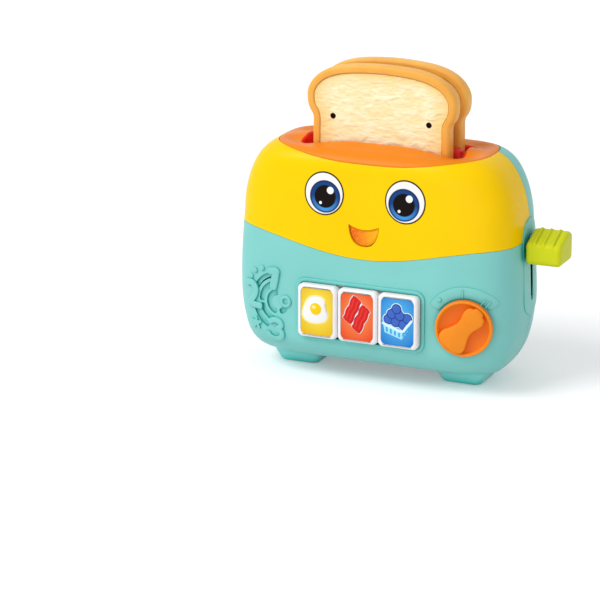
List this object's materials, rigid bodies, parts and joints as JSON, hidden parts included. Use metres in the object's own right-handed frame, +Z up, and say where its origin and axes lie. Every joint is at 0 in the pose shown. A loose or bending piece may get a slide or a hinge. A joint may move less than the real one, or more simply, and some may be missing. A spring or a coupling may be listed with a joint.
{
  "type": "toy toaster",
  "caption": "Toy toaster with rounded casing, lift-out bread slices, spring lever, push buttons, rotary dial and a smiling front.",
  "frame": {"origin": "on the floor, under the middle of the overall box", "axes": "+X to the lever side, -Y out of the front, +Z up"},
  "size_m": [0.2234, 0.0935, 0.2101],
  "materials": {
    "teal_plastic": "satin moulded plastic",
    "yellow_plastic": "satin moulded plastic",
    "orange_plastic": "satin moulded plastic",
    "lime_plastic": "satin moulded plastic",
    "red_plastic": "fine matt moulded plastic",
    "white_plastic": "smooth moulded plastic",
    "crust_plastic": "softly moulded, baked tone",
    "crumb_plastic": "moulded with shallow dimples",
    "yellow_label": "printed inlay under a clear coat",
    "red_label": "printed inlay under a clear coat",
    "blue_label": "printed inlay under a clear coat",
    "red_lens": "translucent moulded plastic",
    "clear_lamp": "clear tinted lamp",
    "rubber": "matt silicone rubber",
    "steel": "plain bright steel",
    "board_green": "coated circuit board",
    "black_plastic": "matt moulded plastic",
    "battery_wrap": "plain shrink wrap"
  },
  "bodies": {
    "casing": {"front_shell": "teal_plastic", "rear_shell": "teal_plastic", "face_cover": "yellow_plastic", "left_foot": "teal_plastic", "right_foot": "teal_plastic", "top_insert": "orange_plastic", "toast_well": "red_plastic", "guide_bracket": "black_plastic", "left_rubber_dome": "rubber", "middle_rubber_dome": "rubber", "right_rubber_dome": "rubber", "circuit_board": "board_green", "led_board": "board_green", "left_board_screw": "steel", "right_board_screw": "steel", "rotary_switch": "black_plastic", "speaker_frame": "black_plastic", "speaker_cone": "black_plastic", "mouth_lens": "red_lens", "mouth_led": "clear_lamp", "front_guide_rod": "steel", "rear_guide_rod": "steel", "return_spring": "steel", "lower_battery": "battery_wrap", "upper_battery": "battery_wrap", "left_battery_contact": "steel", "right_battery_contact": "steel", "case_screw_lower_left": "steel", "case_screw_lower_right": "steel", "case_screw_upper_left": "steel", "case_screw_upper_right": "steel"},
    "lever": {"lever_carriage": "white_plastic", "lever_knob": "lime_plastic"},
    "front_slice": {"front_slice_crust": "crust_plastic", "front_slice_crumb": "crumb_plastic"},
    "rear_slice": {"rear_slice_crust": "crust_plastic", "rear_slice_crumb": "crumb_plastic"},
    "left_button": {"left_button": "white_plastic", "left_button_label": "yellow_label"},
    "middle_button": {"middle_button": "white_plastic", "middle_button_label": "red_label"},
    "right_button": {"right_button": "white_plastic", "right_button_label": "blue_label"},
    "dial": {"dial_knob": "orange_plastic"},
    "battery_door": {"battery_door": "teal_plastic", "battery_door_screw": "steel"}
  },
  "joints": [
    {"name": "lever_slide", "type": "slide", "parent": "casing", "child": "lever", "axis": [0, 0, 1], "range_m": [-0.03, 0], "stiffness_N_per_m": 150, "springref_m": 0.03, "deforming": ["return_spring"]},
    {"name": "front_slice_lift", "type": "slide", "parent": "lever", "child": "front_slice", "axis": [0, 0, 1], "range_m": [0, 0.06]},
    {"name": "rear_slice_lift", "type": "slide", "parent": "lever", "child": "rear_slice", "axis": [0, 0, 1], "range_m": [0, 0.06]},
    {"name": "left_button_press", "type": "slide", "parent": "casing", "child": "left_button", "axis": [0, 1, 0], "range_m": [0, 0.0025], "stiffness_N_per_m": 400, "springref_m": -0.001, "deforming": ["left_rubber_dome"]},
    {"name": "middle_button_press", "type": "slide", "parent": "casing", "child": "middle_button", "axis": [0, 1, 0], "range_m": [0, 0.0025], "stiffness_N_per_m": 400, "springref_m": -0.001, "deforming": ["middle_rubber_dome"]},
    {"name": "right_button_press", "type": "slide", "parent": "casing", "child": "right_button", "axis": [0, 1, 0], "range_m": [0, 0.0025], "stiffness_N_per_m": 400, "springref_m": -0.001, "deforming": ["right_rubber_dome"]},
    {"name": "dial_turn", "type": "hinge", "parent": "casing", "child": "dial", "pos_m": [0.0578, -0.03778, 0.048], "axis": [0.2097, -0.9778, 0], "range_deg": [0, 80]},
    {"name": "battery_door_lift", "type": "slide", "parent": "casing", "child": "battery_door", "axis": [0, 1, 0], "range_m": [0, 0.03]}
  ]
}
